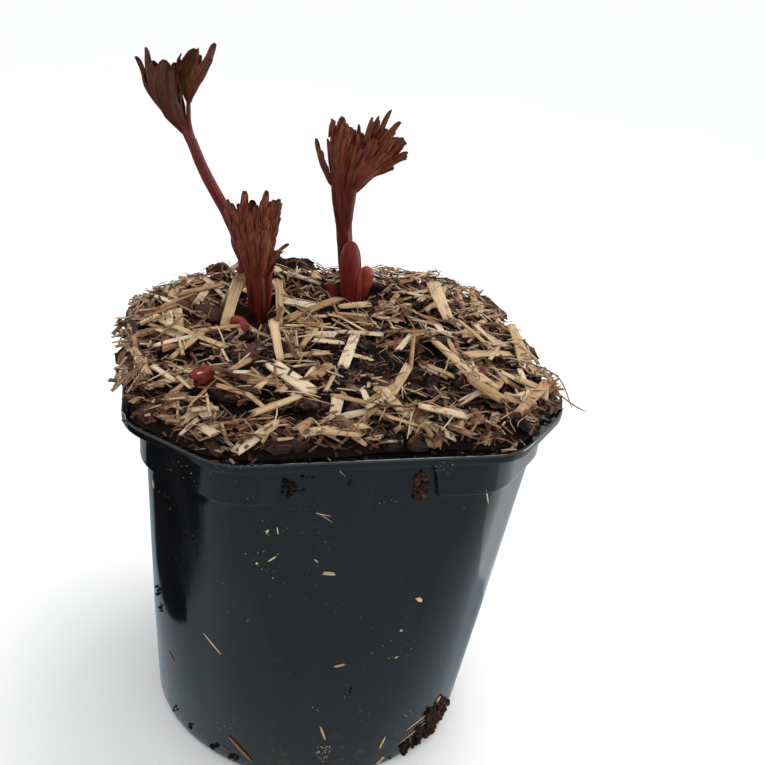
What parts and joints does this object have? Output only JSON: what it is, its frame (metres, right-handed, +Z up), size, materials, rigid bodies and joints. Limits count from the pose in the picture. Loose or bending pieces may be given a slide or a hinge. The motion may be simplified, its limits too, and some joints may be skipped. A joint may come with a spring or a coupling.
{
  "type": "potted peony",
  "caption": "Young peony shoots with folded red-brown leaf heads and buds, standing in straw and bark mulch in a black nursery pot with cut corners.",
  "frame": {"origin": "middle of the pot's flat underside", "axes": "+Z up, along the pot's axis and the shoots. -Y is the pot's front, a main side with the sunk collar panel. +X is to the right of someone who looks at the front"},
  "size_m": [0.208, 0.2086, 0.3321],
  "materials": {
    "pot_plastic": "satin moulded plastic, nearly black, dusty",
    "soil": "moist dark peat soil, crumbly",
    "root": "pale brown root skin",
    "bark": "dark split bark chips and fine dark crumbs",
    "straw": "pale dry chopped straw, fibrous",
    "leaf": "maroon and olive young leaf, soft sheen",
    "bud": "dark red bud skin, velvety"
  },
  "bodies": {
    "root": {"pot": "pot_plastic", "potting_soil": "soil", "rootstock": "root", "bark_mulch": "bark", "straw_mulch": "straw", "shoot_tall": "leaf", "shoot_low": "leaf", "shoot_right": "leaf", "bud_dark": "bud", "bud_blunt": "bud", "bud_small": "bud", "bud_pink": "bud"}
  },
  "joints": []
}
